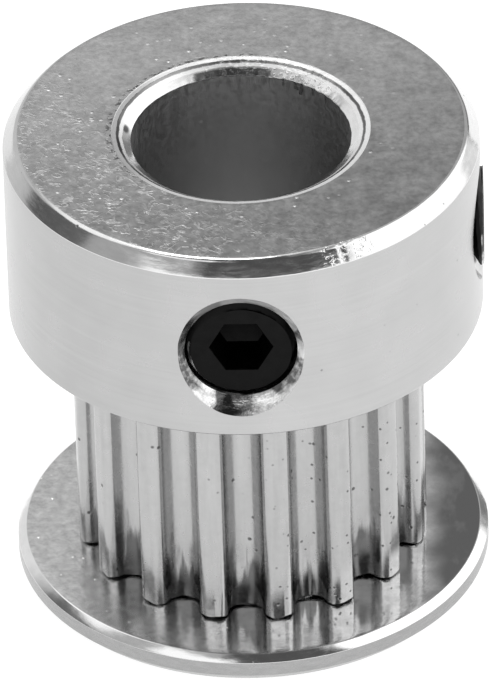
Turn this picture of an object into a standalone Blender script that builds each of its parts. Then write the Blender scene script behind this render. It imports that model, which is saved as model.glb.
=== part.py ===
"""Timing belt pulley for a 6 mm wide belt of 2 mm pitch, clamped to its shaft by two set screws.

Four separate pieces: the pulley body (hub and toothed barrel, turned and cut from one bar), the
flange disc pressed on the body's spigot, and two socket set screws at 90 degrees to each other.
Metres, +Z up along the bore. The origin is the centre of the flange's lower face.
"""
import math

import bmesh
import bpy

MM = 0.001

# Toothed barrel
TOOTH_COUNT = 16
BELT_PITCH = 2.0 * MM
CORD_LINE = 0.254 * MM              # the belt's cords run this far outside the tooth tips
TIP_RADIUS = TOOTH_COUNT * BELT_PITCH / (2 * math.pi) - CORD_LINE
TOOTH_DEPTH = 0.75 * MM
GROOVE_RADIUS = 0.52 * MM           # round bottom of the gap between two teeth
GROOVE_DRAFT = math.radians(8)      # lean of the gap's sides
TIP_CORNER = 0.25 * MM
GROOVE_TURN = math.radians(-1.5)    # from the front screw round to the gap below it

# Heights above the flange's lower face
TOTAL_HEIGHT = 14.0 * MM
HUB_BOTTOM = 8.4 * MM
FRONT_SCREW_HEIGHT = 11.0 * MM
SIDE_SCREW_HEIGHT = 11.18 * MM

# Hub
HUB_RADIUS = 6.5 * MM
HUB_CHAMFER_WIDTH = 0.35 * MM
HUB_CHAMFER_HEIGHT = 0.40 * MM
BORE_RADIUS = 3.0 * MM
BORE_CHAMFER_WIDTH = 0.50 * MM
BORE_CHAMFER_DEPTH = 0.25 * MM

# Flange disc and the spigot that carries it
FLANGE_RADIUS = 6.5 * MM
FLANGE_THICKNESS = 0.93 * MM
FLANGE_CHAMFER_WIDTH = 0.20 * MM
FLANGE_CHAMFER_HEIGHT = 0.22 * MM
FLANGE_FOOT_CHAMFER = 0.33 * MM     # 45 degrees, around the lower face
FLANGE_SEAM = 0.08 * MM             # between the tooth ends and the flange
SPIGOT_RADIUS = 3.95 * MM
SPIGOT_RECESS = 0.10 * MM           # the spigot's end stays inside the flange
SPIGOT_SEAM = 0.03 * MM

# Set screws, M3 x 3 with a 1.5 mm hexagon socket
SCREW_RADIUS = 1.48 * MM
SCREW_LENGTH = 3.0 * MM
SCREW_TOP_CHAMFER = 0.05 * MM
SCREW_POINT_CHAMFER = 0.40 * MM
CUP_RADIUS = 0.70 * MM
CUP_DEPTH = 0.35 * MM
SOCKET_FLATS = 1.5 * MM
SOCKET_DEPTH = 1.3 * MM
HOLE_RADIUS = 1.54 * MM
COUNTERSINK_RADIUS = 1.95 * MM      # where its cone meets the hub's surface above the screw
COUNTERSINK_SLOPE = math.radians(45)  # between the cone's side and its axis
# Name: direction around the axis, height, and the outer face's distance above the hub's surface
SET_SCREWS = {
    "set_screw_front": (math.radians(-90), FRONT_SCREW_HEIGHT, -0.50 * MM),
    "set_screw_side": (math.radians(0), SIDE_SCREW_HEIGHT, 0.05 * MM),
}

# Facets
ROUND_SEGMENTS = 144
SCREW_SEGMENTS = 48
ARC_STEPS = 10
CORNER_STEPS = 3
LAND_STEPS = 2
OVERLAP = 0.5 * MM                  # how far a cutter runs past the face it opens


def clear_scene():
    """Remove whatever the scene holds."""
    for thing in list(bpy.data.objects):
        bpy.data.objects.remove(thing, do_unlink=True)


def metal(name, colour, roughness):
    """A plain metal."""
    material = bpy.data.materials.new(name)
    material.use_nodes = True
    shader = material.node_tree.nodes["Principled BSDF"]
    shader.inputs["Base Color"].default_value = (*colour, 1.0)
    shader.inputs["Metallic"].default_value = 1.0
    shader.inputs["Roughness"].default_value = roughness
    return material


def add_object(name, bm, material=None):
    """Turn a bmesh into an object with smooth round faces and sharp edges."""
    bmesh.ops.recalc_face_normals(bm, faces=bm.faces)
    mesh = bpy.data.meshes.new(name)
    bm.to_mesh(mesh)
    bm.free()
    mesh.shade_smooth()
    mesh.set_sharp_from_angle(angle=math.radians(30))
    thing = bpy.data.objects.new(name, mesh)
    bpy.context.scene.collection.objects.link(thing)
    if material is None:
        thing.hide_render = True
        thing.display_type = "WIRE"
    else:
        mesh.materials.append(material)
    return thing


def turned(profile, segments):
    """Turn an outline of (radius, height) points around Z; a radius of 0 is on the axis."""
    bm = bmesh.new()
    rings = []
    for radius, height in profile:
        count = segments if radius > 0 else 1
        turns = [2 * math.pi * i / segments for i in range(count)]
        ring = [bm.verts.new((radius * math.cos(t), radius * math.sin(t), height)) for t in turns]
        rings.append(ring)
    pairs = list(zip(rings, rings[1:]))
    if profile[0][0] > 0:
        pairs.append((rings[-1], rings[0]))
    for lower, upper in pairs:
        for i in range(segments):
            j = (i + 1) % segments
            corners = [lower[i % len(lower)], lower[j % len(lower)],
                       upper[j % len(upper)], upper[i % len(upper)]]
            bm.faces.new(list(dict.fromkeys(corners)))
    return bm


def extruded(outline, bottom, top):
    """Extrude an outline of (x, y) points from one height to another."""
    bm = bmesh.new()
    face = bm.faces.new([bm.verts.new((x, y, bottom)) for x, y in outline])
    raised = bmesh.ops.extrude_face_region(bm, geom=[face], use_keep_orig=True)
    for vert in (v for v in raised["geom"] if isinstance(v, bmesh.types.BMVert)):
        vert.co.z = top
    return bm


def boolean(thing, other, operation):
    """Add or cut away another object, which stays hidden."""
    modifier = thing.modifiers.new(f"{operation.lower()} {other.name}", "BOOLEAN")
    modifier.operation = operation
    modifier.solver = "EXACT"
    modifier.object = other


def arc(centre, radius, start, end, steps):
    """Points of an arc, both ends included."""
    angles = [start + (end - start) * i / steps for i in range(steps + 1)]
    return [(centre[0] + radius * math.cos(a), centre[1] + radius * math.sin(a)) for a in angles]


def half_groove():
    """Right half of one gap, from its lowest point to the middle of the land beside it.

    The gap lies on +Y: a round bottom, a straight leaning side, a round tooth corner, the land.
    """
    bottom_centre = (0.0, TIP_RADIUS - TOOTH_DEPTH + GROOVE_RADIUS)
    into_tooth = (math.cos(GROOVE_DRAFT), -math.sin(GROOVE_DRAFT))
    along_side = (math.sin(GROOVE_DRAFT), math.cos(GROOVE_DRAFT))
    offset = GROOVE_RADIUS + TIP_CORNER
    start = [bottom_centre[i] + offset * into_tooth[i] for i in range(2)]
    reach = TIP_RADIUS - TIP_CORNER
    # The corner's centre is as far along the side as puts it at that reach from the axis
    half_b = start[0] * along_side[0] + start[1] * along_side[1]
    rest = start[0] ** 2 + start[1] ** 2 - reach ** 2
    along = -half_b + math.sqrt(half_b ** 2 - rest)
    corner = [start[i] + along * along_side[i] for i in range(2)]
    corner_turn = math.atan2(corner[1], corner[0])
    land_middle = math.pi / 2 - math.pi / TOOTH_COUNT
    points = arc(bottom_centre, GROOVE_RADIUS, -math.pi / 2, -GROOVE_DRAFT, ARC_STEPS)
    points += arc(corner, TIP_CORNER, math.pi - GROOVE_DRAFT, corner_turn, CORNER_STEPS)
    points += arc((0.0, 0.0), TIP_RADIUS, corner_turn, land_middle, LAND_STEPS)[1:]
    return points


def toothed_outline():
    """Outline of the barrel, one gap after another, clockwise from the gap under the front screw."""
    right = half_groove()
    left = [(-x, y) for x, y in reversed(right)]
    gap = left[1:-1] + right
    outline = []
    for tooth in range(TOOTH_COUNT):
        turn = math.pi + GROOVE_TURN - 2 * math.pi * tooth / TOOTH_COUNT
        c, s = math.cos(turn), math.sin(turn)
        outline += [(c * x - s * y, s * x + c * y) for x, y in gap]
    return outline


def place_radially(thing, direction, height, distance):
    """Point a piece's own +Z away from the bore's axis, at a height and a distance from it."""
    thing.rotation_euler = (0.0, math.pi / 2, direction)
    thing.location = (distance * math.cos(direction), distance * math.sin(direction), height)


def screw_hole_cutter(name, direction, height):
    """Threaded hole through the hub's wall, with a countersink."""
    cone_end = HUB_RADIUS + OVERLAP
    cone_radius = COUNTERSINK_RADIUS + OVERLAP * math.tan(COUNTERSINK_SLOPE)
    cone_start = HUB_RADIUS - (COUNTERSINK_RADIUS - HOLE_RADIUS) / math.tan(COUNTERSINK_SLOPE)
    profile = [
        (0.0, BORE_RADIUS - OVERLAP),
        (HOLE_RADIUS, BORE_RADIUS - OVERLAP),
        (HOLE_RADIUS, cone_start),
        (cone_radius, cone_end),
        (0.0, cone_end),
    ]
    cutter = add_object(f"{name}_hole_cutter", turned(profile, SCREW_SEGMENTS))
    place_radially(cutter, direction, height, 0.0)
    return cutter


def pulley_body(material):
    """Hub, toothed barrel and spigot in one piece, bored through and drilled for the screws."""
    hub_profile = [
        (0.0, SPIGOT_RECESS),
        (SPIGOT_RADIUS, SPIGOT_RECESS),
        (SPIGOT_RADIUS, HUB_BOTTOM),
        (HUB_RADIUS, HUB_BOTTOM),
        (HUB_RADIUS, TOTAL_HEIGHT - HUB_CHAMFER_HEIGHT),
        (HUB_RADIUS - HUB_CHAMFER_WIDTH, TOTAL_HEIGHT),
        (0.0, TOTAL_HEIGHT),
    ]
    body = add_object("pulley_body", turned(hub_profile, ROUND_SEGMENTS), material)

    barrel_mesh = extruded(toothed_outline(), FLANGE_THICKNESS + FLANGE_SEAM, HUB_BOTTOM + OVERLAP)
    boolean(body, add_object("barrel_blank", barrel_mesh), "UNION")

    mouth = BORE_RADIUS + BORE_CHAMFER_WIDTH * (1 + OVERLAP / BORE_CHAMFER_DEPTH)
    bore_profile = [
        (0.0, SPIGOT_RECESS - OVERLAP),
        (mouth, SPIGOT_RECESS - OVERLAP),
        (BORE_RADIUS, SPIGOT_RECESS + BORE_CHAMFER_DEPTH),
        (BORE_RADIUS, TOTAL_HEIGHT - BORE_CHAMFER_DEPTH),
        (mouth, TOTAL_HEIGHT + OVERLAP),
        (0.0, TOTAL_HEIGHT + OVERLAP),
    ]
    boolean(body, add_object("bore_cutter", turned(bore_profile, ROUND_SEGMENTS)), "DIFFERENCE")

    for name, (direction, height, _) in SET_SCREWS.items():
        boolean(body, screw_hole_cutter(name, direction, height), "DIFFERENCE")
    return body


def flange(material):
    """Thin disc pressed on the spigot, chamfered on both rims."""
    inner = SPIGOT_RADIUS + SPIGOT_SEAM
    face_edge = FLANGE_RADIUS - FLANGE_CHAMFER_WIDTH
    profile = [
        (inner, 0.0),
        (FLANGE_RADIUS - FLANGE_FOOT_CHAMFER, 0.0),
        (FLANGE_RADIUS, FLANGE_FOOT_CHAMFER),
        (FLANGE_RADIUS, FLANGE_THICKNESS - FLANGE_CHAMFER_HEIGHT),
        (face_edge, FLANGE_THICKNESS),
        (inner, FLANGE_THICKNESS),
    ]
    return add_object("flange", turned(profile, ROUND_SEGMENTS), material)


def socket_cutter(name):
    """Hexagon socket with a drilled cone at its bottom, in the screw's own frame."""
    corner_radius = SOCKET_FLATS / math.sqrt(3)
    drill_depth = SOCKET_DEPTH + corner_radius / 2
    corners = [(math.pi / 6 + math.pi * i / 3) for i in range(6)]
    outline = [(corner_radius * math.cos(a), corner_radius * math.sin(a)) for a in corners]
    bm = extruded(outline, -SOCKET_DEPTH, OVERLAP)
    floor = min(bm.faces, key=lambda face: face.calc_center_median().z)
    bmesh.ops.poke(bm, faces=[floor])
    lowest = min(bm.verts, key=lambda vert: vert.co.xy.length)
    lowest.co.z = -drill_depth
    return add_object(f"{name}_socket_cutter", bm)


def set_screw(name, direction, height, stand, material):
    """Cup point set screw; its own origin is the middle of its outer face."""
    profile = [
        (0.0, -SCREW_LENGTH + CUP_DEPTH),
        (CUP_RADIUS, -SCREW_LENGTH),
        (SCREW_RADIUS - SCREW_POINT_CHAMFER, -SCREW_LENGTH),
        (SCREW_RADIUS, -SCREW_LENGTH + SCREW_POINT_CHAMFER),
        (SCREW_RADIUS, -SCREW_TOP_CHAMFER),
        (SCREW_RADIUS - SCREW_TOP_CHAMFER, 0.0),
        (0.0, 0.0),
    ]
    screw = add_object(name, turned(profile, SCREW_SEGMENTS), material)
    place_radially(screw, direction, height, HUB_RADIUS + stand)
    cutter = socket_cutter(name)
    place_radially(cutter, direction, height, HUB_RADIUS + stand)
    boolean(screw, cutter, "DIFFERENCE")
    return screw


def main():
    clear_scene()
    aluminium = metal("aluminium", (0.80, 0.80, 0.79), 0.30)
    flange_metal = metal("flange_metal", (0.72, 0.72, 0.71), 0.22)
    black_steel = metal("black_steel", (0.02, 0.02, 0.022), 0.38)
    body = pulley_body(aluminium)
    flange(flange_metal).parent = body
    for name, (direction, height, stand) in SET_SCREWS.items():
        set_screw(name, direction, height, stand, black_steel).parent = body


main()
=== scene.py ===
"""Looks of the timing belt pulley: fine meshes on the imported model's bodies, metal finishes, studio.

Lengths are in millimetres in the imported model's own frame (+Z up the bore, -Y through the front set
screw) and become metres where a mesh, light or camera is made.
"""
import math

import bpy
from mathutils import Matrix, Vector, noise


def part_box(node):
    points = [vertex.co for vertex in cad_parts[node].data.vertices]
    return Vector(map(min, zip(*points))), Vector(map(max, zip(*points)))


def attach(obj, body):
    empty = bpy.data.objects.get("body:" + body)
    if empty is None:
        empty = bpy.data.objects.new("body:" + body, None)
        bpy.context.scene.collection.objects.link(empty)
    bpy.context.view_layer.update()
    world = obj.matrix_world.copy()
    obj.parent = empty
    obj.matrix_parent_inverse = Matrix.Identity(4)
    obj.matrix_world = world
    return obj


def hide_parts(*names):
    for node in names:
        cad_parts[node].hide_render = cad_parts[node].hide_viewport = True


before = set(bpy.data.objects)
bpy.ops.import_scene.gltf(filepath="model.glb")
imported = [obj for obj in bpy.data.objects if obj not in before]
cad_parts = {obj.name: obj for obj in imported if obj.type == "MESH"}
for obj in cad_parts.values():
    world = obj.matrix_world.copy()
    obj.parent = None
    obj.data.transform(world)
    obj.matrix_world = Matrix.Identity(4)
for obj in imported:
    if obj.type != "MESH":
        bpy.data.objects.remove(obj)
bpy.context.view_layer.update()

MM = 0.001


def node_box(node):
    """Lowest and highest corner of a CAD node in millimetres."""
    low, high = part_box(node)
    return low / MM, high / MM


BODY_LOW, BODY_HIGH = node_box("pulley_body")
FLANGE_HIGH = node_box("flange")[1]
SCREW_NAMES = ("set_screw_front", "set_screw_side")
SCREW_BOXES = {name: node_box(name) for name in SCREW_NAMES}
SCREW_BODIES = {"set_screw_front": "front_screw", "set_screw_side": "side_screw"}
SCREW_TURNS = {"set_screw_front": math.radians(-90), "set_screw_side": 0.0}

# Hub and bore
TOP = BODY_HIGH.z
HUB_RADIUS = BODY_HIGH.y
HUB_BOTTOM = 8.4
HUB_CHAMFER_WIDTH = 0.35
HUB_CHAMFER_HEIGHT = 0.40
BORE_RADIUS = 3.0
BORE_DEPTH = 0.27                 # from the face down to where the straight bore starts
BORE_LIP_RADIUS = 3.53            # a shallow step around the chamfer starts here
BORE_LIP_DEPTH = 0.015
LEDGE_INNER = 3.39                # the step's inner edge, where the chamfer starts
BURR_SIDE = Vector((0.34, 0.94, 0.0))     # the bore's lip is torn most on this side
EDGE = 0.035                      # radius of an edge that was only broken
FACE_EDGE = 0.21                  # radius between the hub's face and its chamfer
DENTS_ANGLE = math.radians(-62)   # where around the hub its chamfer is dented

# Barrel, for a belt of 2 mm pitch, and the spigot below it
TOOTH_COUNT = 16
TIP_RADIUS = TOOTH_COUNT * 2.0 / (2 * math.pi) - 0.254
TOOTH_DEPTH = 0.75
GROOVE_RADIUS = 0.52
GROOVE_DRAFT = math.radians(8)    # lean of a tooth's side
GROOVE_TURN = math.radians(-1.5)  # the front gap lies this far off the front screw
TIP_CORNER = 0.25
FLANGE_TOP = FLANGE_HIGH.z
FLANGE_RADIUS = FLANGE_HIGH.x
FLANGE_CHAMFER_WIDTH = 0.22
FLANGE_CHAMFER_HEIGHT = 0.19
FLANGE_FOOT_CHAMFER = 0.33
FLANGE_DISH = 0.02                # the disc's face falls this far towards its rim
SEAM = 0.05                       # gap between the tooth ends and the disc
SPIGOT_BOTTOM = BODY_LOW.z
SPIGOT_RADIUS = 3.95
SPIGOT_SEAM = 0.03
CORE_RADIUS = 3.5                 # inside the metal, where the barrel ring ends

# Set screws and their holes
SCREW_HEIGHTS = {name: (low.z + high.z) / 2 for name, (low, high) in SCREW_BOXES.items()}
SCREW_RADIUS = 1.48
SCREW_LENGTH = 3.0
SCREW_TOP_CHAMFER = 0.05
SCREW_POINT_CHAMFER = 0.40
CUP_RADIUS = 0.70
CUP_DEPTH = 0.35
SOCKET_FLATS = 1.5
SOCKET_DEPTH = 1.3
THREAD_PITCH = 0.5
THREAD_DEPTH = 0.26
HOLE_CREST = 1.53
HOLE_ROOT = 1.62
COUNTERSINK_RADIUS = 1.95
COUNTERSINK_SLOPE = math.radians(45)
CONE_RADIUS = HOLE_CREST + 0.02   # where the countersink's cone meets the thread
CONE_START = HUB_RADIUS - (COUNTERSINK_RADIUS - CONE_RADIUS) / math.tan(COUNTERSINK_SLOPE)

SEGMENTS = 480                    # faces around a turned piece


# ---------------------------------------------------------------- meshes

def rounded(corners, steps=4):
    """Closed outline through (radius, height, fillet) corners, each fillet drawn as an arc."""
    outline = []
    count = len(corners)
    for i, (radius, height, fillet) in enumerate(corners):
        here = Vector((radius, height))
        if not fillet:
            outline.append((radius, height))
            continue
        before = Vector(corners[i - 1][:2]) - here
        after = Vector(corners[(i + 1) % count][:2]) - here
        half = before.angle(after) / 2
        middle = (before.normalized() + after.normalized()).normalized()
        centre = here + middle * (fillet / math.sin(half))
        start = here + before.normalized() * (fillet / math.tan(half)) - centre
        end = here + after.normalized() * (fillet / math.tan(half)) - centre
        sweep = start.angle_signed(end)
        for step in range(steps + 1):
            turn = Matrix.Rotation(-sweep * step / steps, 2)
            outline.append(tuple(centre + turn @ start))
    return outline


def dense(outline, longest):
    """Split the closed outline's long straights, so that no stretch is longer than asked."""
    points = []
    for (r0, z0), (r1, z1) in zip(outline, outline[1:] + outline[:1]):
        parts = max(1, math.ceil(math.hypot(r1 - r0, z1 - z0) / longest))
        points += [(r0 + (r1 - r0) * k / parts, z0 + (z1 - z0) * k / parts) for k in range(parts)]
    return points


def skin(name, rings, joined=False):
    """Mesh object through rings of points; a ring of one point is a pole."""
    vertices = []
    starts = []
    for ring in rings:
        starts.append(len(vertices))
        vertices += [Vector(point) * MM for point in ring]
    last = len(rings) - 1
    pairs = [(i, i + 1) for i in range(last)] + ([(last, 0)] if joined else [])
    faces = []
    for a, b in pairs:
        size = max(len(rings[a]), len(rings[b]))
        for i in range(size):
            j = (i + 1) % size
            near = [starts[a] + i % len(rings[a]), starts[a] + j % len(rings[a])]
            far = [starts[b] + j % len(rings[b]), starts[b] + i % len(rings[b])]
            faces.append(list(dict.fromkeys(near + far)))
    mesh = bpy.data.meshes.new(name)
    mesh.from_pydata(vertices, [], faces)
    mesh.validate()
    piece = bpy.data.objects.new(name, mesh)
    bpy.context.scene.collection.objects.link(piece)
    return piece


def circle(radius, height, segments):
    return [(radius * math.cos(2 * math.pi * i / segments),
             radius * math.sin(2 * math.pi * i / segments), height) for i in range(segments)]


def turned_rings(outline, wear):
    """Rings of a turned outline; wear(radius, height, angle) gives small changes of both."""
    rings = []
    for radius, height in outline:
        ring = []
        for x, y, z in circle(radius, height, SEGMENTS):
            dr, dz = wear(radius, height, math.atan2(y, x))
            scale = (radius + dr) / radius
            ring.append((x * scale, y * scale, z + dz))
        rings.append(ring)
    return rings


def apply_boolean(piece, other, operation):
    """Join or cut with another object, which is then removed."""
    modifier = piece.modifiers.new(operation, "BOOLEAN")
    modifier.operation = operation
    modifier.solver = "EXACT"
    modifier.object = other
    bake_modifiers(piece)
    bpy.data.objects.remove(other, do_unlink=True)


def bake_modifiers(piece):
    """Keep the shape that the modifiers give, without the modifiers."""
    graph = bpy.context.evaluated_depsgraph_get()
    mesh = bpy.data.meshes.new_from_object(piece.evaluated_get(graph))
    old = piece.data
    piece.modifiers.clear()
    piece.data = mesh
    bpy.data.meshes.remove(old)
    mesh.name = piece.name


def smooth(piece, degrees=28):
    """Smooth shading, sharp where two faces meet at a real edge, flats kept flat."""
    piece.data.shade_smooth()
    piece.data.set_sharp_from_angle(angle=math.radians(degrees))
    modifier = piece.modifiers.new("flats", "WEIGHTED_NORMAL")
    modifier.keep_sharp = True
    modifier.weight = 60
    bake_modifiers(piece)


def give_finishes(piece, finishes, choose):
    """One material slot per finish; choose(centre, normal) names the finish of a face."""
    names = list(finishes)
    piece.data.materials.clear()
    for name in names:
        piece.data.materials.append(finishes[name])
    for face in piece.data.polygons:
        face.material_index = names.index(choose(face.center / MM, face.normal))


def screw_direction(name):
    """Unit vector from the bore's axis towards the named screw."""
    return Vector((math.cos(SCREW_TURNS[name]), math.sin(SCREW_TURNS[name]), 0.0))


def placed_radially(name):
    """Matrix that points a piece's own +Z away from the bore's axis, at the named screw's place."""
    move = Matrix.Translation((0.0, 0.0, SCREW_HEIGHTS[name] * MM))
    return move @ Matrix.Rotation(SCREW_TURNS[name], 4, "Z") @ Matrix.Rotation(math.pi / 2, 4, "Y")


def thread_height(angle, height):
    """0 at the thread's root and 1 on its crest, for a right-hand thread."""
    phase = (height / THREAD_PITCH - angle / (2 * math.pi)) % 1.0
    slope = abs(phase - 0.5) * 2
    return min(1.0, max(0.0, (slope - 0.15) / 0.65))


# ---------------------------------------------------------------- pulley body

def half_groove():
    """Right half of one gap between teeth, on +Y, from its lowest point to the next land's middle."""
    bottom = Vector((0.0, TIP_RADIUS - TOOTH_DEPTH + GROOVE_RADIUS))
    into_tooth = Vector((math.cos(GROOVE_DRAFT), -math.sin(GROOVE_DRAFT)))
    along_side = Vector((math.sin(GROOVE_DRAFT), math.cos(GROOVE_DRAFT)))
    start = bottom + into_tooth * (GROOVE_RADIUS + TIP_CORNER)
    reach = TIP_RADIUS - TIP_CORNER
    half_b = start.dot(along_side)
    along = -half_b + math.sqrt(half_b ** 2 - start.dot(start) + reach ** 2)
    corner = start + along * along_side
    corner_turn = math.atan2(corner.y, corner.x)

    def arc(centre, radius, first, final, steps):
        turns = [first + (final - first) * k / steps for k in range(steps + 1)]
        return [(centre[0] + radius * math.cos(t), centre[1] + radius * math.sin(t)) for t in turns]

    points = arc(bottom, GROOVE_RADIUS, -math.pi / 2, -GROOVE_DRAFT, 18)
    points += arc(corner, TIP_CORNER, math.pi - GROOVE_DRAFT, corner_turn, 8)
    points += arc((0, 0), TIP_RADIUS, corner_turn, math.pi / 2 - math.pi / TOOTH_COUNT, 5)[1:]
    return points


def toothed_outline():
    """Outline of the barrel, anticlockwise seen from above."""
    right = half_groove()
    gap = [(-x, y) for x, y in reversed(right)][1:-1] + right
    outline = []
    for tooth in range(TOOTH_COUNT):
        turn = math.pi + GROOVE_TURN - 2 * math.pi * tooth / TOOTH_COUNT
        c, s = math.cos(turn), math.sin(turn)
        outline += [(c * x - s * y, s * x + c * y) for x, y in gap]
    return outline[::-1]


def barrel_ring():
    """Toothed ring that the hub's core carries; its lower tooth ends are slightly broken."""
    outline = toothed_outline()
    low = FLANGE_TOP + SEAM
    high = HUB_BOTTOM + 0.3       # inside the hub
    broken = 0.07                 # height of the broken tooth ends
    rows = 8

    def at(shrink, height, uneven=0.0):
        scale = 1 - shrink / TIP_RADIUS
        return [(x * scale, y * scale, height + uneven * noise.noise(Vector((x, y, 0.0)) * 2.6))
                for x, y in outline]

    inner = [tuple(Vector((x, y)).normalized() * CORE_RADIUS) for x, y in outline]
    rings = [[(x, y, low) for x, y in inner]]
    rings += [at(0.08, low, broken), at(0.02, low + 0.03, broken), at(0.0, low + broken, 0.03)]
    rings += [at(0.0, low + broken + (high - low - broken) * k / rows) for k in range(1, rows + 1)]
    rings.append([(x, y, high) for x, y in inner])
    return skin("barrel_ring", rings, joined=True)


def hub_wear(radius, height, angle):
    """Small unevenness of the bore's edge, of its chamfer and lip, and of the hub's chamfer."""
    spot = Vector((math.cos(angle), math.sin(angle), 0.0))
    burr = 0.12 + 0.88 * max(0.0, spot.dot(BURR_SIDE)) ** 3
    if height > TOP - 0.6 and radius < BORE_RADIUS + 0.05:
        ragged = noise.noise(spot * 11) + 0.7 * noise.noise(spot * 29)
        return 0.036 * burr * ragged, 0.032 * burr * noise.noise(spot * 17 + Vector((0, 0, 3)))
    if height > TOP - BORE_DEPTH and radius < BORE_LIP_RADIUS + 0.02:
        across = Vector((0, 0, radius * 14))
        ragged = noise.noise(spot * 9 + across)
        return 0.012 * burr * ragged, 0.008 * burr * noise.noise(spot * 15 - across)
    if height > TOP - 0.5 and radius > HUB_RADIUS - 0.50:
        dented = max(0.0, 1 - math.degrees(abs(angle - DENTS_ANGLE)) / 7)
        dent = 0.06 * dented * min(0.0, noise.noise(spot * 60) + 0.1)
        rise = 0.004 * noise.noise(spot * 13 + Vector((0, 0, 5)))
        return dent + 0.004 * noise.noise(spot * 9), dent + rise
    return 0.0, 0.0


def hub_profile():
    """Section of the turned body, without its teeth."""
    lower_chamfer = 0.35
    lip_foot = BORE_LIP_RADIUS - 0.02
    corners = [
        (BORE_RADIUS, SPIGOT_BOTTOM + lower_chamfer, 0.0),
        (BORE_RADIUS + lower_chamfer, SPIGOT_BOTTOM, 0.03),
        (SPIGOT_RADIUS, SPIGOT_BOTTOM, 0.05),
        (SPIGOT_RADIUS, HUB_BOTTOM, 0.0),
        (HUB_RADIUS, HUB_BOTTOM, 0.09),
        (HUB_RADIUS, TOP - HUB_CHAMFER_HEIGHT, EDGE),
        (HUB_RADIUS - HUB_CHAMFER_WIDTH, TOP, FACE_EDGE),
        (BORE_LIP_RADIUS, TOP, 0.015),
        (lip_foot, TOP - BORE_LIP_DEPTH, 0.015),
        (LEDGE_INNER, TOP - BORE_LIP_DEPTH - 0.01, 0.04),
        (BORE_RADIUS, TOP - BORE_DEPTH, 0.03),
    ]
    return dense(rounded(corners, 6), 0.12)


def hole_cutter(name):
    """Tapped hole and countersink; the cone starts with faint flats left by tool chatter."""
    segments = 156
    bottom = BORE_RADIUS - 0.6    # well inside the bore
    rows = int((CONE_START - bottom) / 0.04)
    runout = 6                    # rows over which the thread fades out below the cone
    cone_height = 0.6
    cone_steps = 12
    flats = 13
    flats_height = 0.28
    rings = [[(0.0, 0.0, bottom)]]
    for row in range(rows + 1):
        height = bottom + (CONE_START - bottom) * row / rows
        ring = []
        for x, y, z in circle(1.0, height, segments):
            depth = 1 - thread_height(math.atan2(y, x), height)
            radius = HOLE_CREST + (HOLE_ROOT - HOLE_CREST) * depth * min(1.0, (rows - row) / runout)
            ring.append((x * radius, y * radius, z))
        rings.append(ring)
    for step in range(1, cone_steps + 1):
        out = cone_height * step / cone_steps
        cone_radius = CONE_RADIUS + out * math.tan(COUNTERSINK_SLOPE)
        ring = []
        for x, y, z in circle(1.0, CONE_START + out, segments):
            turn = (math.atan2(y, x) + 0.3) % (2 * math.pi / flats) - math.pi / flats
            flat = math.cos(math.pi / flats) / math.cos(turn)
            chatter = 0.9 * (1 - flat) * max(0.0, 1 - out / flats_height)
            torn = 0.012 * noise.noise(Vector((x * 4, y * 4, out * 7))) * min(1.0, step / 3)
            radius = cone_radius * (1 - chatter) + torn
            ring.append((x * radius, y * radius, z))
        rings.append(ring)
    rings.append([(0.0, 0.0, CONE_START + cone_height)])
    cutter = skin(f"{name}_hole", rings)
    cutter.data.transform(placed_radially(name))
    return cutter


def body_finish(centre, normal):
    """Which finish a face of the pulley body shows."""
    radius = math.hypot(centre.x, centre.y)
    in_wall = BORE_RADIUS + 0.02 < radius < HUB_RADIUS - 0.004
    for name in SCREW_NAMES:
        outward = screw_direction(name)
        along = centre.dot(outward)
        across = (centre - outward * along - Vector((0, 0, SCREW_HEIGHTS[name]))).length
        turned_away = normal.z ** 2 + normal.cross(outward).length ** 2 > 0.05
        if along > 0 and across < COUNTERSINK_RADIUS + 0.05 and in_wall and turned_away:
            on_cone = across > HOLE_CREST + 0.005 and along > CONE_START - 0.2
            return "cut_edge" if on_cone else "thread"
    if radius < BORE_RADIUS + 0.01 and centre.z < TOP - BORE_DEPTH - 0.02:
        return "bore_wall"
    if centre.z > TOP - 0.004 and normal.z > 0.99:
        return "hub_face"
    if centre.z > TOP - BORE_DEPTH - 0.06 and radius < BORE_LIP_RADIUS + 0.05:
        return "bore_chamfer"
    if centre.z > TOP - HUB_CHAMFER_HEIGHT - 0.02:
        return "hub_chamfer"
    if centre.z > HUB_BOTTOM - 0.01:
        return "hub_side"
    return "teeth" if centre.z > FLANGE_TOP else "hub_side"


def make_body(finishes):
    """Hub, teeth and spigot as one piece, with the bore and both tapped holes."""
    body = skin("pulley_body_fine", turned_rings(hub_profile(), hub_wear), joined=True)
    apply_boolean(body, barrel_ring(), "UNION")
    for name in SCREW_NAMES:
        apply_boolean(body, hole_cutter(name), "DIFFERENCE")
    smooth(body)
    give_finishes(body, finishes, body_finish)
    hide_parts("pulley_body")
    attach(body, "pulley")


# ---------------------------------------------------------------- flange and screws

def flange_wear(radius, height, angle):
    """Faint dents along the disc's upper edges."""
    spot = Vector((math.cos(angle), math.sin(angle), 0.0))
    if height > FLANGE_TOP - 0.3 and radius > FLANGE_RADIUS - 0.25:
        return 0.0, -0.006 * max(0.0, noise.noise(spot * 16) - 0.1)
    return 0.0, 0.0


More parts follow.
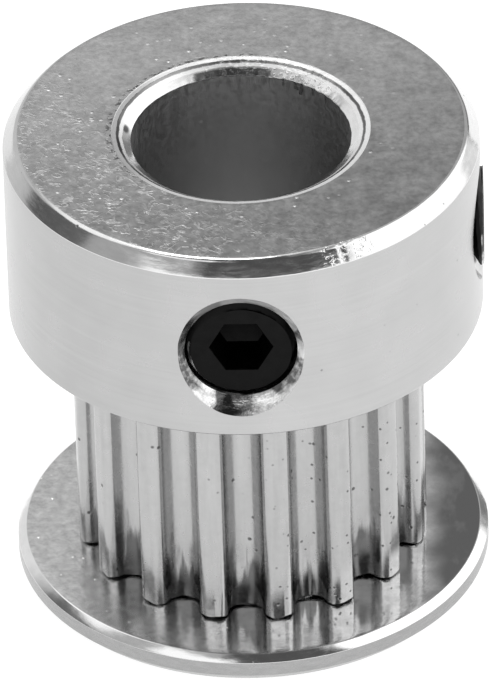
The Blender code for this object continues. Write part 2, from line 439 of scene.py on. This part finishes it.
def make_flange(finishes):
    """The disc that is pressed on the spigot."""
    inner = SPIGOT_RADIUS + SPIGOT_SEAM
    rim = FLANGE_RADIUS - FLANGE_CHAMFER_WIDTH
    corners = [
        (inner, 0.0, 0.03),
        (FLANGE_RADIUS - FLANGE_FOOT_CHAMFER, 0.0, 0.05),
        (FLANGE_RADIUS, FLANGE_FOOT_CHAMFER, 0.05),
        (FLANGE_RADIUS, FLANGE_TOP - FLANGE_CHAMFER_HEIGHT, 0.02),
        (rim, FLANGE_TOP - FLANGE_DISH, 0.08),
        (TIP_RADIUS, FLANGE_TOP, 0.0),
        (inner, FLANGE_TOP, 0.03),
    ]
    rings = turned_rings(dense(rounded(corners), 0.15), flange_wear)
    flange = skin("flange_fine", rings, joined=True)
    smooth(flange)

    def flange_finish(centre, normal):
        radius = math.hypot(centre.x, centre.y)
        if normal.z > 0.97:
            return "flange_face"
        if radius > rim - 0.02 and centre.z > FLANGE_TOP / 2 and normal.z > 0.2:
            return "flange_chamfer"
        return "flange_rim"

    give_finishes(flange, finishes, flange_finish)
    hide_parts("flange")
    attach(flange, "pulley")


def screw_envelope(height):
    """Largest radius at a height below the outer face, where the two end chamfers allow it."""
    outer = SCREW_RADIUS - SCREW_TOP_CHAMFER - height
    point = SCREW_RADIUS - SCREW_POINT_CHAMFER + (height + SCREW_LENGTH)
    return min(outer, point)


def socket_cutter():
    """Hexagon socket with a drilled cone at its bottom and a slightly opened mouth."""
    corner = SOCKET_FLATS / math.sqrt(3)
    inside, mouth = 0.97, 1.03    # widths beside the nominal one
    over = 0.30                   # how far the cutter stands out of the screw

    def hexagon(scale, height):
        turns = [math.pi / 6 + math.pi * k / 3 for k in range(6)]
        return [(corner * scale * math.cos(t), corner * scale * math.sin(t), height) for t in turns]

    rings = [
        [(0.0, 0.0, -SOCKET_DEPTH - corner * 0.5)],
        hexagon(inside, -SOCKET_DEPTH),
        hexagon(inside, -0.05),
        hexagon(mouth, 0.02),
        hexagon(mouth, over),
        [(0.0, 0.0, over)],
    ]
    return skin("socket", rings)


def make_screw(name, finishes):
    """Cup point set screw with its real helical thread."""
    segments = 96
    rows = 110
    rings = [[(0.0, 0.0, CUP_DEPTH - SCREW_LENGTH)]]
    for part in (0.25, 0.5, 0.75, 1.0):
        rings.append(circle(CUP_RADIUS * part, CUP_DEPTH * (1 - part) - SCREW_LENGTH, segments))
    for row in range(rows + 1):
        height = -SCREW_LENGTH + SCREW_LENGTH * row / rows
        ring = []
        for x, y, z in circle(1.0, height, segments):
            thread = SCREW_RADIUS - THREAD_DEPTH * (1 - thread_height(math.atan2(y, x), height))
            radius = min(thread, screw_envelope(height))
            ring.append((x * radius, y * radius, z))
        rings.append(ring)
    rim = rings[-1]
    rings += [[(x * part, y * part, 0.0) for x, y, _ in rim] for part in (0.97, 0.9, 0.8)]
    rings.append([(0.0, 0.0, 0.0)])
    screw = skin(f"{name}_fine", rings)
    apply_boolean(screw, socket_cutter(), "DIFFERENCE")
    smooth(screw, 40)

    def screw_finish(centre, normal):
        at_rim = math.hypot(centre.x, centre.y) > SCREW_RADIUS - SCREW_TOP_CHAMFER - 0.02
        return "screw_edge" if at_rim and centre.z > -SCREW_TOP_CHAMFER - 0.01 else "black_oxide"

    give_finishes(screw, finishes, screw_finish)
    outward = screw_direction(name)
    face = max(corner.dot(outward) for corner in SCREW_BOXES[name])
    screw.matrix_world = placed_radially(name) @ Matrix.Translation((0.0, 0.0, face * MM))
    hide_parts(name)
    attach(screw, SCREW_BODIES[name])


# ---------------------------------------------------------------- shader helpers

def put(tree, kind, inputs=None, **settings):
    """Add a shader node; inputs are numbers, colours or sockets by name or number."""
    made = tree.nodes.new("ShaderNode" + kind)
    for key, value in settings.items():
        setattr(made, key, value)
    for key, value in (inputs or {}).items():
        if isinstance(value, bpy.types.NodeSocket):
            tree.links.new(value, made.inputs[key])
        else:
            made.inputs[key].default_value = value
    return made


def calc(tree, operation, a, b=0.0):
    return put(tree, "Math", {0: a, 1: b}, operation=operation).outputs[0]


def remap(tree, value, low, high, to_low=0.0, to_high=1.0):
    """Smooth step from one range to another."""
    inputs = {0: value, 1: low, 2: high, 3: to_low, 4: to_high}
    return put(tree, "MapRange", inputs, interpolation_type="SMOOTHSTEP").outputs[0]


def noise_at(tree, place, scale, detail=2.0, roughness=0.5):
    inputs = {"Vector": place, "Scale": scale, "Detail": detail, "Roughness": roughness}
    return put(tree, "TexNoise", inputs).outputs[0]


def specks(tree, place, scale, size, share):
    """Small round spots, 1 at their middles; only a share of the cells holds one."""
    cells = put(tree, "TexVoronoi", {"Vector": place, "Scale": scale})
    spot = remap(tree, cells.outputs["Distance"], size * scale, size * scale * 0.4)
    chosen = put(tree, "SeparateColor", {0: cells.outputs["Color"]}).outputs[0]
    return calc(tree, "MULTIPLY", spot, calc(tree, "LESS_THAN", chosen, share))


def in_mm(tree):
    """Place on the piece, in millimetres."""
    place = put(tree, "TexCoord").outputs["Object"]
    return put(tree, "VectorMath", {0: place, "Scale": 1 / MM}, operation="SCALE").outputs[0]


def xyz(tree, place):
    """The x, y and z of a place."""
    return put(tree, "SeparateXYZ", {0: place}).outputs


def stretched(tree, place, x, y, z):
    return put(tree, "VectorMath", {0: place, 1: (x, y, z)}, operation="MULTIPLY").outputs[0]


def length(tree, x, y):
    """Distance of a point (x, y) from the origin."""
    corner = put(tree, "CombineXYZ", {0: x, 1: y}).outputs[0]
    return put(tree, "VectorMath", {0: corner}, operation="LENGTH").outputs["Value"]


def polar(tree, place):
    """Radius, angle and height around the bore."""
    x, y, z = xyz(tree, place)
    squares = calc(tree, "ADD", calc(tree, "MULTIPLY", x, x), calc(tree, "MULTIPLY", y, y))
    return calc(tree, "SQRT", squares), calc(tree, "ARCTAN2", y, x), z


def mixed(tree, factor, first, second):
    """Blend of two colours; a number stands for a grey."""
    first, second = ((c, c, c, 1.0) if isinstance(c, float) else c for c in (first, second))
    return put(tree, "Mix", {0: factor, 6: first, 7: second}, data_type="RGBA").outputs[2]


def metal(name, build):
    """A metal whose colour, roughness and bump come from build(tree), as a dictionary."""
    material = bpy.data.materials.new(name)
    material.use_nodes = True
    tree = material.node_tree
    shader = tree.nodes["Principled BSDF"]
    shader.inputs["Metallic"].default_value = 1.0
    made = build(tree)
    tree.links.new(made["colour"], shader.inputs["Base Color"])
    tree.links.new(made["roughness"], shader.inputs["Roughness"])
    if "height" in made:
        inputs = {"Height": made["height"], "Distance": made["depth"] * MM, "Strength": 1.0}
        tree.links.new(put(tree, "Bump", inputs).outputs[0], shader.inputs["Normal"])
    return material


def total(tree, *parts):
    """Sum of (weight, socket) parts."""
    result = 0.0
    for weight, socket in parts:
        result = calc(tree, "ADD", result, calc(tree, "MULTIPLY", socket, weight))
    return result


def squiggles(tree, place, scale, width):
    """Short curly lines, 1 along their middles."""
    field = put(tree, "TexNoise", {"Vector": place, "Scale": scale, "Detail": 2.0, "Distortion": 0.6})
    line = calc(tree, "ABSOLUTE", calc(tree, "SUBTRACT", field.outputs[0], 0.5))
    broken = remap(tree, noise_at(tree, stretched(tree, place, 1.0, 1.0, 1.3), scale * 1.3), 0.46, 0.60)
    return calc(tree, "MULTIPLY", remap(tree, line, width, width * 0.3), broken)


def toned(tree, colour, mask, grey, strength=1.0):
    """The colour, turned towards a grey where the mask is 1."""
    factor = mask if strength == 1.0 else calc(tree, "MULTIPLY", mask, strength)
    return mixed(tree, factor, colour, grey)


# ---------------------------------------------------------------- finishes

def hub_side_finish(tree):
    """Satin turned wall: fine rings, a faint cloudiness and a few tiny pits, with painted shade darkening
    it to the left.
    """
    place = in_mm(tree)
    rings = noise_at(tree, stretched(tree, place, 0.15, 0.15, 14.0), 1.0, 3.0, 0.6)
    clouds = noise_at(tree, place, 0.7, 2.0)
    pits = specks(tree, place, 1.1, 0.05, 0.5)
    # painted shade: the wall's colour is darker towards the left
    left = remap(tree, xyz(tree, place)[0], 1.5, -5.0)
    tone = total(tree, (0.6, clouds), (0.4, rings), (-0.37, left))
    return {
        "colour": toned(tree, mixed(tree, tone, 0.44, 0.57), pits, 0.30),
        "roughness": remap(tree, clouds, 0.3, 0.7, 0.24, 0.28),
        "height": total(tree, (0.2, rings), (-1.0, pits)),
        "depth": 0.0014,
    }


def hub_face_finish(tree):
    """Frosted face: mottled grey, with curly bright marks and specks towards the front left, and painted
    light and shade making it lighter towards the back and the left and darker towards the front right.
    """
    place = in_mm(tree)
    radius, _, _ = polar(tree, place)
    x, y, _ = xyz(tree, place)
    frosty = remap(tree, total(tree, (0.9, x), (0.6, y)), 1.5, -5.5)
    left = remap(tree, total(tree, (0.7, x), (-0.8, y)), 5.5, -5.0)
    coarse = noise_at(tree, place, 0.9, 3.0)
    mottle = noise_at(tree, place, 2.4, 2.0, 0.6)
    fine = noise_at(tree, place, 6.0, 3.0, 0.65)
    leaves = squiggles(tree, place, 2.1, 0.05)
    hairs = squiggles(tree, place, 3.4, 0.06)
    near_bore = remap(tree, radius, 4.6, 3.7)
    sparks = specks(tree, place, 3.4, 0.07, 0.30)
    back = remap(tree, y, -4.5, 4.5)
    back_left = remap(tree, total(tree, (-1.0, x), (0.6, y)), 0.4, 2.6)
    beside_lip = calc(tree, "MULTIPLY", remap(tree, radius, 3.72, 3.60), back_left)
    torn = calc(tree, "MULTIPLY", remap(tree, noise_at(tree, place, 6.5, 2.0), 0.50, 0.60), beside_lip)
    marks = total(tree, (0.65, leaves), (0.40, hairs))
    marks = calc(tree, "MULTIPLY", marks, total(tree, (1.0, frosty), (-0.45, back)))
    marks = calc(tree, "MAXIMUM", marks, 0.0)
    sparks = calc(tree, "MULTIPLY", sparks, total(tree, (0.45, frosty), (0.5, near_bore), (0.25, left)))
    tone = total(tree, (0.34, coarse), (0.72, mottle), (0.22, fine), (0.62, marks), (1.2, sparks))
    # painted light and shade: the face lighter towards the back and the left, darker towards the front
    # right
    shade = total(tree, (0.23, left), (0.10, frosty), (0.24, back))
    tone = calc(tree, "SUBTRACT", calc(tree, "ADD", tone, shade), 0.505)
    colour = mixed(tree, tone, 0.22, 0.62)
    return {
        "colour": toned(tree, colour, torn, 0.15),
        "roughness": remap(tree, fine, 0.25, 0.75, 0.30, 0.46),
        "height": total(tree, (0.35, fine), (0.7, marks), (1.2, sparks), (-1.0, torn)),
        "depth": 0.014,
    }


def cone_finish(tree):
    """Countersink cut with some chatter: rings and bright streaks beside dull and dark patches, with
    painted shade darkening its far left and painted light brightening its right and lifting its top to a
    mid grey.
    """
    place = in_mm(tree)
    x, y, z = xyz(tree, place)
    rise = calc(tree, "SUBTRACT", z, SCREW_HEIGHTS["set_screw_front"])
    aside = calc(tree, "MINIMUM", calc(tree, "ABSOLUTE", x), calc(tree, "ABSOLUTE", y))
    around = calc(tree, "MULTIPLY", length(tree, aside, rise), 7.0)
    rings = noise_at(tree, put(tree, "CombineXYZ", {0: around, 1: aside}).outputs[0], 1.0, 2.0, 0.6)
    patches = noise_at(tree, place, 1.15, 1.0)
    streaks = noise_at(tree, place, 5.5, 4.0, 0.7)
    # painted shade: the cone's colour is darker at its far left
    shaded = remap(tree, calc(tree, "ABSOLUTE", calc(tree, "ADD", x, 1.9)), 1.0, 0.3)
    # painted light: the top is toned to a lighter mid grey and the right side made lighter; both are also
    # rougher
    top = remap(tree, rise, 0.8, 1.4)
    right = remap(tree, x, 0.8, 1.5)
    bright = remap(tree, patches, 0.42, 0.56)
    tone = total(tree, (1.3, bright), (2.0, streaks), (-0.85, shaded), (1.6, rings), (0.6, right))
    rough = remap(tree, patches, 0.3, 0.7, 0.10, 0.20)
    colour = mixed(tree, calc(tree, "SUBTRACT", tone, 2.25), 0.12, 0.78)
    return {
        "colour": toned(tree, colour, top, 0.38, 0.75),
        "roughness": calc(tree, "ADD", rough, total(tree, (0.42, top), (0.22, right))),
        "height": total(tree, (1.0, streaks), (0.5, rings)),
        "depth": 0.012,
    }


def bright_cut(low_roughness, high_roughness, dark, light):
    """A freshly cut edge: smooth, with faint streaks along the cut and a few nicks."""
    def build(tree):
        place = in_mm(tree)
        streaks = noise_at(tree, stretched(tree, place, 1.0, 1.0, 4.0), 2.6, 3.0, 0.6)
        nicks = specks(tree, place, 2.0, 0.05, 0.4)
        return {
            "colour": toned(tree, mixed(tree, streaks, dark, light), nicks, dark * 0.5),
            "roughness": remap(tree, streaks, 0.3, 0.7, low_roughness, high_roughness),
            "height": calc(tree, "SUBTRACT", calc(tree, "MULTIPLY", streaks, 0.5), nicks),
            "depth": 0.004,
        }
    return build


def hub_chamfer_finish(tree):
    """Bright chamfer, with painted shade darkening it to the left, and a cluster of dents at the front
    right.
    """
    place = in_mm(tree)
    _, angle, _ = polar(tree, place)
    made = bright_cut(0.08, 0.16, 0.64, 0.84)(tree)
    off = calc(tree, "ABSOLUTE", calc(tree, "SUBTRACT", angle, DENTS_ANGLE))
    struck = remap(tree, off, math.radians(8), math.radians(2))
    dents = calc(tree, "MULTIPLY", remap(tree, noise_at(tree, place, 8.0, 2.0), 0.55, 0.66), struck)
    # painted shade: the chamfer's colour is darker at the far left
    dull_and_painted_dark = remap(tree, xyz(tree, place)[0], -4.2, -5.6)
    return {
        "colour": toned(tree, made["colour"], dull_and_painted_dark, 0.36, 0.45),
        "roughness": made["roughness"],
        "height": total(tree, (1.0, made["height"]), (-3.0, dents)),
        "depth": made["depth"],
    }


def bore_chamfer_finish(tree):
    """Bright lip and chamfer of the bore, with painted highlight rings on them and a painted dark
    reflection ring between them; torn towards the back, where painted shade also darkens it.
    """
    outer_ring, dark_reflection_ring, inner_ring = 3.475, 3.36, 3.265
    nick_x, nick_y = -3.14, 0.35
    place = in_mm(tree)
    radius, _, _ = polar(tree, place)
    x, y, _ = xyz(tree, place)
    wander = total(tree, (1.0, radius), (0.05, noise_at(tree, place, 4.0, 2.0)))

    def ring(middle, half):
        soft = 0.015
        off = calc(tree, "ABSOLUTE", calc(tree, "SUBTRACT", wander, middle + 0.025))
        return remap(tree, off, half + soft, half - soft)

    # painted highlights: near-white rings on the lip and at the chamfer's inner edge
    outer = ring(outer_ring, 0.075)
    inner = ring(inner_ring, 0.045)
    # painted shade towards the back, and a painted dark reflection ring in the chamfer's middle
    at_back = remap(tree, y, 1.4, 2.8)
    dull_and_painted_dark = calc(tree, "MULTIPLY", ring(dark_reflection_ring, 0.038), remap(tree, at_back, 0.0, 1.0, 0.95, 0.62))
    torn = calc(tree, "MULTIPLY", remap(tree, noise_at(tree, place, 9.0, 3.0, 0.6), 0.50, 0.66), at_back)
    torn = calc(tree, "MULTIPLY", torn, remap(tree, x, -1.3, -0.7))
    # painted dark reflection: a dark patch at the back of the chamfer's inner edge
    ragged = total(tree, (1.0, x), (0.9, noise_at(tree, place, 3.2, 3.0)))
    off_patch = calc(tree, "ABSOLUTE", calc(tree, "SUBTRACT", ragged, 0.17))
    patch = calc(tree, "MULTIPLY", remap(tree, off_patch, 1.10, 0.90), remap(tree, y, 1.0, 1.5))
    patch = calc(tree, "MULTIPLY", patch, remap(tree, wander, 3.23, 3.19))
    off_nick = calc(tree, "MULTIPLY", calc(tree, "SUBTRACT", y, nick_y), 0.5)
    nick = remap(tree, length(tree, calc(tree, "SUBTRACT", x, nick_x), off_nick), 0.12, 0.05)
    streaks = noise_at(tree, stretched(tree, place, 1.0, 1.0, 5.0), 3.0, 3.0)
    colour = toned(tree, mixed(tree, streaks, 0.70, 0.95), at_back, 0.25, 0.30)
    colour = toned(tree, colour, torn, 0.15, 0.50)
    colour = toned(tree, colour, patch, 0.10, 0.90)
    colour = toned(tree, colour, nick, 0.15)
    colour = toned(tree, colour, inner, 0.97, 0.8)
    # painted shade: the outer highlight ring is darker towards the left
    rim = mixed(tree, remap(tree, x, -3.1, -2.1), 0.58, 0.90)
    colour = mixed(tree, outer, colour, rim)
    rings = calc(tree, "MAXIMUM", outer, inner)
    rough = calc(tree, "MAXIMUM", rings, calc(tree, "MULTIPLY", at_back, 0.5))
    return {
        "colour": toned(tree, colour, dull_and_painted_dark, 0.10),
        "roughness": remap(tree, rough, 0.0, 1.0, 0.12, 0.42),
        "height": total(tree, (0.6, torn), (0.1, streaks)),
        "depth": 0.008,
    }


def bore_wall_finish(tree):
    """Reamed wall, dull and even, with a few spots of swarf."""
    place = in_mm(tree)
    clouds = noise_at(tree, stretched(tree, place, 0.6, 0.6, 0.3), 1.0, 2.0)
    grain = noise_at(tree, place, 7.0, 2.0)
    spots = specks(tree, place, 1.5, 0.07, 0.4)
    return {
        "colour": mixed(tree, total(tree, (0.7, clouds), (0.3, grain), (0.5, spots)), 0.36, 0.60),
        "roughness": remap(tree, grain, 0.3, 0.7, 0.38, 0.50),
        "height": total(tree, (0.4, grain), (1.0, spots)),
        "depth": 0.004,
    }


def teeth_finish(tree):
    """Hobbed teeth: streaks down them, dark pits mostly to the right, painted shade in the grooves at
    their roots.
    """
    place = in_mm(tree)
    radius, _, height = polar(tree, place)
    x = xyz(tree, place)[0]
    streaks = noise_at(tree, stretched(tree, place, 5.0, 5.0, 0.35), 1.0, 3.0, 0.6)
    mottle = noise_at(tree, place, 3.5, 3.0, 0.6)
    pits = specks(tree, place, 1.9, 0.07, 0.5)
    small = calc(tree, "MULTIPLY", specks(tree, place, 4.2, 0.05, 0.5), remap(tree, x, -1.0, 2.5))
    dirt = calc(tree, "MAXIMUM", pits, small)
    tone = total(tree, (0.55, streaks), (0.45, mottle))
    # painted shade: dark tongues that climb the grooves up from the flange
    tongues = noise_at(tree, stretched(tree, place, 2.6, 2.6, 0.30), 1.0, 3.0, 0.55)
    climb = total(tree, (1.0, height), (-5.6, tongues))
    root_shade = calc(tree, "MULTIPLY", remap(tree, climb, -0.35, -1.05), remap(tree, radius, 4.70, 4.40))
    colour = toned(tree, mixed(tree, tone, 0.35, 0.57), root_shade, 0.08, 0.80)
    return {
        "colour": toned(tree, colour, dirt, 0.14),
        "roughness": remap(tree, mottle, 0.3, 0.7, 0.17, 0.28),
        "height": total(tree, (0.35, streaks), (0.25, mottle), (-1.0, dirt)),
        "depth": 0.006,
    }


def flange_face_finish(tree):
    """Nearly bright disc face: fine turning rings, cloudy to the left, where painted shade also darkens
    it, and darker at the far right.
    """
    place = in_mm(tree)
    radius, angle, _ = polar(tree, place)
    turned = put(tree, "CombineXYZ", {0: radius, 1: calc(tree, "MULTIPLY", angle, 0.3)}).outputs[0]
    rings = noise_at(tree, turned, 9.0, 3.0)
    x = xyz(tree, place)[0]
    left = remap(tree, x, 3.0, -5.5)
    right = remap(tree, total(tree, (1.0, x), (1.2, noise_at(tree, place, 0.8, 1.0))), 4.9, 6.0)
    clouds = noise_at(tree, place, 4.0, 4.0, 0.65)
    scuffs = remap(tree, noise_at(tree, stretched(tree, place, 1.6, 0.7, 1.0), 1.3, 4.0, 0.6), 0.50, 0.68)
    sparks = calc(tree, "MULTIPLY", specks(tree, place, 3.0, 0.06, 0.3), left)
    # painted shade: the face's colour is darker towards the left
    tone = calc(tree, "ADD", 0.12, total(tree, (1.3, clouds), (-0.35, left), (0.6, sparks)))
    dull_and_painted_dark = total(tree, (0.5, clouds), (0.6, left))
    colour = mixed(tree, tone, 0.52, 1.0)
    rubbed = calc(tree, "SUBTRACT", 1.0, calc(tree, "MULTIPLY", scuffs, 0.10))
    # darker towards the far right of the disc, a little less where there are scuffs
    darker_right = calc(tree, "MULTIPLY", right, rubbed)
    return {
        "colour": toned(tree, colour, darker_right, 0.22),
        "roughness": remap(tree, dull_and_painted_dark, 0.2, 1.0, 0.08, 0.25),
        "height": total(tree, (0.4, rings), (1.0, calc(tree, "MULTIPLY", clouds, left)), (1.0, sparks)),
        "depth": 0.006,
    }


def black_oxide_finish(tree):
    """Black oxide on steel: slightly uneven sheen."""
    place = in_mm(tree)
    patches = noise_at(tree, place, 2.5, 3.0)
    grain = noise_at(tree, place, 14.0, 2.0)
    return {
        "colour": mixed(tree, patches, 0.006, 0.016),
        "roughness": remap(tree, patches, 0.3, 0.7, 0.34, 0.52),
        "height": grain,
        "depth": 0.003,
    }


def screw_edge_finish(tree):
    """Rubbed rim of the screw, where the oxide is worn to grey steel in places."""
    place = in_mm(tree)
    worn = remap(tree, noise_at(tree, place, 2.2, 3.0), 0.40, 0.60)
    return {
        "colour": mixed(tree, worn, 0.06, 0.55),
        "roughness": remap(tree, worn, 0.0, 1.0, 0.38, 0.22),
        "height": noise_at(tree, place, 8.0, 2.0),
        "depth": 0.004,
    }


# ---------------------------------------------------------------- studio

def direction(azimuth, elevation):
    """Unit vector: azimuth 0 is towards -Y and 90 towards +X, in degrees."""
    a, e = math.radians(azimuth), math.radians(elevation)
    return Vector((math.sin(a) * math.cos(e), -math.cos(a) * math.cos(e), math.sin(e)))


def panel_mask(tree, azimuth, elevation, at, half, soft):
    """1 inside a soft-edged rectangle of the sky, in degrees of azimuth and elevation."""
    turn = calc(tree, "SUBTRACT", azimuth, at[0])
    turn = put(tree, "Math", {0: turn, 1: 180.0, 2: -180.0}, operation="WRAP").outputs[0]
    rise = calc(tree, "SUBTRACT", elevation, at[1])
    sides = []
    for offset, reach, edge in zip((turn, rise), half, soft):
        sides.append(remap(tree, calc(tree, "ABSOLUTE", offset), reach + edge, reach - edge))
    return calc(tree, "MULTIPLY", *sides)


# Panels of the studio, painted over each other: centre, half size and edge softness in degrees of
# azimuth and elevation, then the brightness
PANELS = (
    ((8, 26), (58, 16), (10, 2), 1.40),        # bright room in front, below the camera's hood
    ((-6, 69), (20, 27), (6, 3), 0.09),        # black hood above the camera, its left part
    ((30, 68), (27, 29), (5, 3), 0.09),        # and its right part, which hangs lower
    ((0, 89), (180, 13), (1, 5), 0.11),        # and straight above
    ((-145, 20), (22, 18), (8, 5), 0.85),      # white card, back left
    ((-139, 59), (49, 17), (6, 5), 1.15),      # long light bank above it
    ((-98, 28), (17, 13), (4, 3), 0.15),       # gap between the cards
    ((-40, 59), (26, 6), (5, 2), 1.20),        # strip light above the front left
    ((101, 38), (42, 28), (3, 3), 1.50),       # light bank, right
    ((167, 0), (26, 15), (5, 4), 0.22),        # dark corner, back right
)


def make_world():
    """Studio around the object: a pale room with a dark hood over the camera and bright banks."""
    world = bpy.data.worlds.new("studio")
    world.use_nodes = True
    bpy.context.scene.world = world
    tree = world.node_tree
    x, y, z = xyz(tree, put(tree, "TexCoord").outputs["Generated"])
    turn = calc(tree, "ARCTAN2", x, calc(tree, "MULTIPLY", y, -1.0))
    azimuth = calc(tree, "DEGREES", turn)
    elevation = calc(tree, "DEGREES", calc(tree, "ARCSINE", z))
    light = remap(tree, elevation, 2.0, 22.0, 0.95, 0.46)
    for at, half, soft, brightness in PANELS:
        mask = panel_mask(tree, azimuth, elevation, at, half, soft)
        light = put(tree, "Mix", {0: mask, 2: light, 3: brightness}, data_type="FLOAT").outputs[0]
    background = tree.nodes["Background"]
    background.inputs["Color"].default_value = (1.0, 1.0, 1.0, 1.0)
    tree.links.new(light, background.inputs["Strength"])


def make_floor():
    """Plain pale floor that glows a little, like a light table."""
    reach = 2000.0
    corners = [(-reach, -reach, 0), (reach, -reach, 0), (reach, reach, 0), (-reach, reach, 0)]
    mesh = bpy.data.meshes.new("floor")
    mesh.from_pydata([Vector(c) * MM for c in corners], [], [(0, 1, 2, 3)])
    floor = bpy.data.objects.new("floor", mesh)
    bpy.context.scene.collection.objects.link(floor)
    material = bpy.data.materials.new("floor")
    material.use_nodes = True
    shader = material.node_tree.nodes["Principled BSDF"]
    shader.inputs["Base Color"].default_value = (0.35, 0.35, 0.35, 1.0)
    shader.inputs["Roughness"].default_value = 0.9
    shader.inputs["Emission Color"].default_value = (1.0, 1.0, 1.0, 1.0)
    shader.inputs["Emission Strength"].default_value = 0.85
    mesh.materials.append(material)


def make_lamp():
    """Large soft lamp above and behind."""
    distance = 1.6
    lamp = bpy.data.lights.new("soft_top", "AREA")
    lamp.shape = "DISK"
    lamp.size = 0.5
    lamp.energy = 4.0
    holder = bpy.data.objects.new("soft_top", lamp)
    bpy.context.scene.collection.objects.link(holder)
    away = direction(200, 70)
    holder.location = away * distance
    holder.rotation_euler = away.to_track_quat("Z", "Y").to_euler()


def make_camera():
    """Long lens at the photographer's height, the frame turned slightly anticlockwise."""
    azimuth, elevation, roll = 1.7, 35.37, -1.84
    distance = 0.4468
    aim = Vector((-0.04, 0.0, 6.97)) * MM
    back = direction(azimuth, elevation)
    right = Vector((math.cos(math.radians(azimuth)), math.sin(math.radians(azimuth)), 0.0))
    turn = Matrix.Rotation(math.radians(roll), 3, back)
    right = turn @ right
    up = back.cross(right)
    camera = bpy.data.objects.new("camera", bpy.data.cameras.new("camera"))
    bpy.context.scene.collection.objects.link(camera)
    camera.data.sensor_width = 36.0
    camera.data.lens = 862.2
    camera.data.clip_start = 0.01
    camera.data.clip_end = 10.0
    axes = Matrix((right, up, back)).transposed().to_4x4()
    camera.matrix_world = Matrix.Translation(aim + back * distance) @ axes
    bpy.context.scene.camera = camera


BODY_FINISHES = {
    "hub_side": hub_side_finish,
    "hub_face": hub_face_finish,
    "hub_chamfer": hub_chamfer_finish,
    "bore_chamfer": bore_chamfer_finish,
    "cut_edge": cone_finish,
    "thread": bright_cut(0.15, 0.25, 0.45, 0.65),
    "bore_wall": bore_wall_finish,
    "teeth": teeth_finish,
}
FLANGE_FINISHES = {
    "flange_face": flange_face_finish,
    "flange_chamfer": bright_cut(0.08, 0.15, 0.75, 0.90),
    "flange_rim": bright_cut(0.22, 0.32, 0.32, 0.46),
}
SCREW_FINISHES = {"black_oxide": black_oxide_finish, "screw_edge": screw_edge_finish}


def main():
    make_camera()
    make_world()
    make_lamp()
    make_floor()
    bpy.context.scene.view_settings.view_transform = "Standard"
    body_metals, flange_metals, screw_metals = (
        {name: metal(name, build) for name, build in finishes.items()}
        for finishes in (BODY_FINISHES, FLANGE_FINISHES, SCREW_FINISHES)
    )
    make_body(body_metals)
    make_flange(flange_metals)
    for name in SCREW_NAMES:
        make_screw(name, screw_metals)


main()
